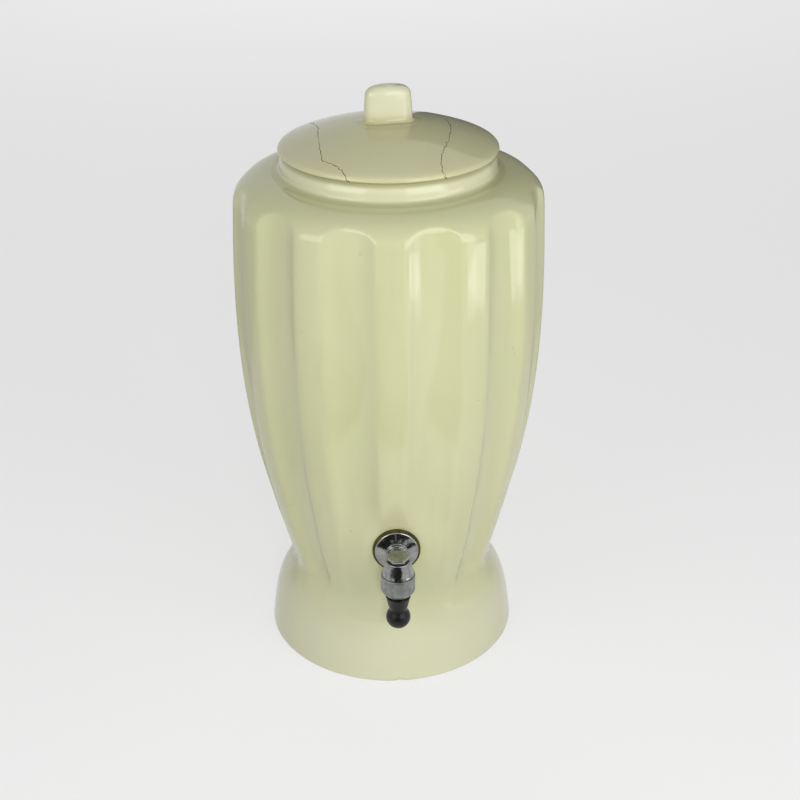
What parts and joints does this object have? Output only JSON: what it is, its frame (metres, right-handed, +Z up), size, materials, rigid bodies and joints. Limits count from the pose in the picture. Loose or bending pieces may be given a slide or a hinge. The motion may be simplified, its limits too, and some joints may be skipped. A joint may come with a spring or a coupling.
{
  "type": "ceramic water filter",
  "caption": "Fluted glazed ceramic gravity water filter on a flared pedestal, with a domed lid, hung filter bowl with candle and float valve, and a tilt tap.",
  "frame": {"origin": "centre of the foot ring, on the surface that the filter stands on", "axes": "+Z up along the filter's axis, -Y towards the tap, +X to the right of someone facing the tap"},
  "size_m": [0.2513, 0.2742, 0.4909],
  "materials": {
    "glaze": "glossy cream glaze",
    "bowl_glaze": "glossy white glaze",
    "candle_ceramic": "matte porous ceramic",
    "carbon": "pressed carbon",
    "white_plastic": "moulded satin",
    "float_plastic": "smooth moulded",
    "black_rubber": "matte",
    "olive_rubber": "aged matte",
    "tap_chrome": "polished",
    "tap_brass": "turned",
    "spring_steel": "drawn wire",
    "handle_black": "polished black moulding"
  },
  "bodies": {
    "tank": {"pedestal": "glaze", "tank_wall": "glaze", "shoulder": "glaze", "outer_gasket": "olive_rubber", "inner_gasket": "black_rubber", "tap_washer": "tap_brass", "lock_nut": "tap_brass", "tap_body": "tap_chrome", "cap_washer": "black_rubber", "tap_cap": "tap_chrome", "valve_spring": "spring_steel", "tap_collar": "tap_chrome"},
    "bowl": {"inner_bowl": "bowl_glaze", "candle_gasket": "black_rubber", "candle_base": "white_plastic", "candle_shell": "candle_ceramic", "carbon_core": "carbon", "lower_gasket": "black_rubber", "wing_nut": "white_plastic", "float_valve": "white_plastic", "float_pin": "spring_steel"},
    "cover": {"lid": "glaze"},
    "float": {"float_arm": "white_plastic", "float_seal": "black_rubber", "float_ball": "float_plastic"},
    "handle": {"pivot_ball": "tap_brass", "tap_handle": "handle_black"},
    "valve": {"valve_stem": "tap_brass", "valve_washer": "black_rubber"}
  },
  "joints": [
    {"name": "bowl_lift", "type": "slide", "parent": "tank", "child": "bowl", "axis": [0, 0, 1], "range_m": [0, 0.3]},
    {"name": "lid_lift", "type": "slide", "parent": "bowl", "child": "cover", "axis": [0, 0, 1], "range_m": [0, 0.12]},
    {"name": "float_swing", "type": "hinge", "parent": "bowl", "child": "float", "pos_m": [-0.013, 0, 0.1904], "axis": [0, -1, 0], "range_deg": [0, 20]},
    {"name": "tap_tilt", "type": "hinge", "parent": "tank", "child": "handle", "pos_m": [0, -0.1349, 0.1137], "axis": [1, 0, 0], "range_deg": [0, 11], "stiffness_Nm_per_rad": 0.5, "springref_deg": -5.73},
    {"name": "valve_lift", "type": "slide", "parent": "tank", "child": "valve", "axis": [0, 0, 1], "range_m": [0, 0.0007], "deforming": ["valve_spring"]}
  ],
  "couplings": [
    {"joint": "valve_lift", "follows": "tap_tilt", "m_per_rad": 0.0035}
  ]
}
